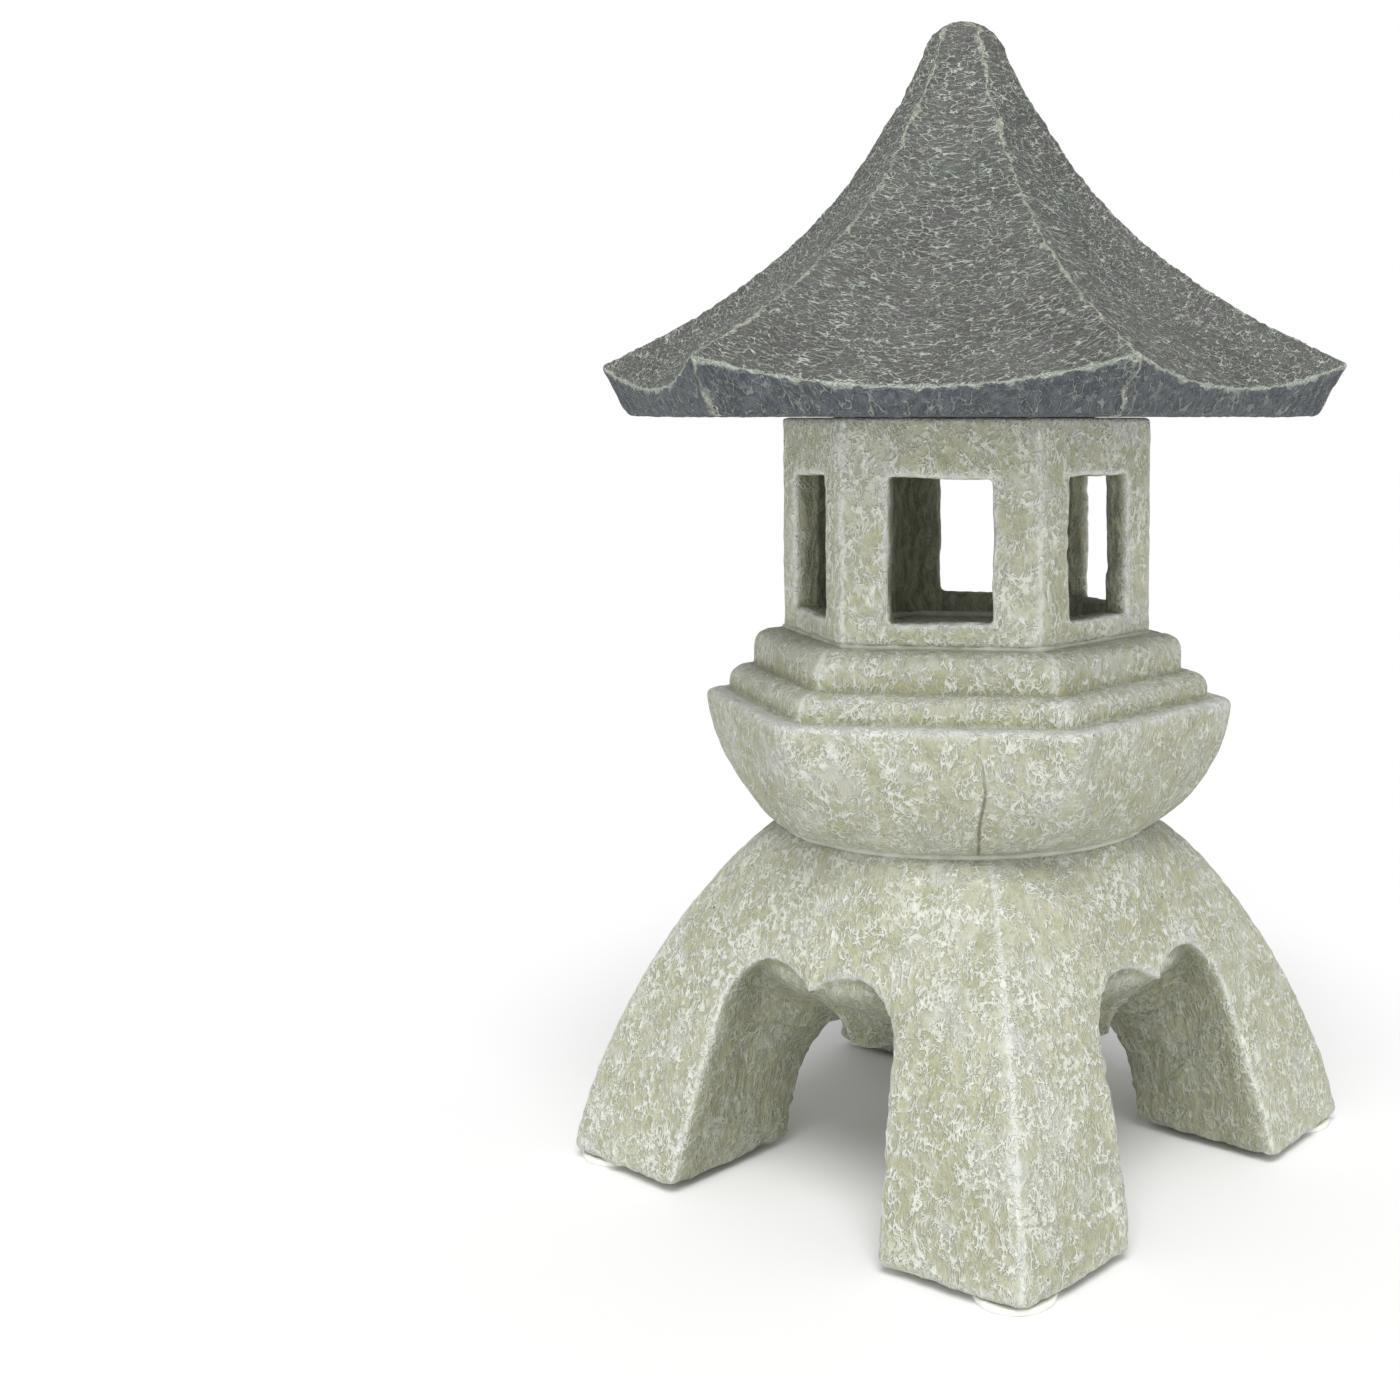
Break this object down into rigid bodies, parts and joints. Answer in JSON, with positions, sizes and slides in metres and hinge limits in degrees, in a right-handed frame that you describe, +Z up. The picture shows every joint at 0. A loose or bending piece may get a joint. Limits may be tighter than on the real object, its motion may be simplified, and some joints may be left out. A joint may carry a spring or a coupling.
{
  "type": "stone lantern",
  "caption": "Pagoda garden lantern of stacked cast stone: legged base, bowl platform, windowed light chamber holding a tealight, and a flared roof that lifts off.",
  "frame": {"origin": "on the ground under the lantern's axis, at the centre of its footprint", "axes": "+Z up along the lantern's axis, -Y the front; the base has its sides along X and Y, and the six-sided stones have a face along -Y and corners along X"},
  "size_m": [0.412, 0.3568, 0.61],
  "materials": {
    "base_stone": "matt sage-green cast stone, hand-tooled, with a dry-brushed white wash on the raised grain",
    "platform_stone": "matt sage-green cast stone, hand-tooled, with a dry-brushed white wash on the raised grain",
    "chamber_stone": "matt sage-green cast stone, hand-tooled, with a dry-brushed white wash on the raised grain",
    "roof_stone": "matt slate-grey cast stone, hand-tooled, with pale grey-green dry brushing on the raised grain and ridges",
    "mortar": "pale, matt, fine-grained bedding mortar",
    "foot_pad": "milky, slightly translucent soft pad",
    "tealight_metal": "thin pressed foil, satin",
    "wax": "white paraffin wax, satin",
    "wick": "waxed braided cotton, darkened tip"
  },
  "bodies": {
    "lantern_body": {"base": "base_stone", "foot_pad_front_left": "foot_pad", "foot_pad_front_right": "foot_pad", "foot_pad_back_left": "foot_pad", "foot_pad_back_right": "foot_pad", "platform_mortar_bed": "mortar", "platform": "platform_stone", "chamber_mortar_bed": "mortar", "light_chamber": "chamber_stone"},
    "roof": {"roof": "roof_stone"},
    "tealight": {"tealight_cup": "tealight_metal", "tealight_wax": "wax", "tealight_wick": "wick", "wick_clip": "tealight_metal"}
  },
  "joints": [
    {"name": "roof_lift", "type": "slide", "parent": "lantern_body", "child": "roof", "axis": [0, 0, 1], "range_m": [0, 0.15]},
    {"name": "tealight_lift", "type": "slide", "parent": "lantern_body", "child": "tealight", "axis": [0, 0, 1], "range_m": [0, 0.1]}
  ]
}
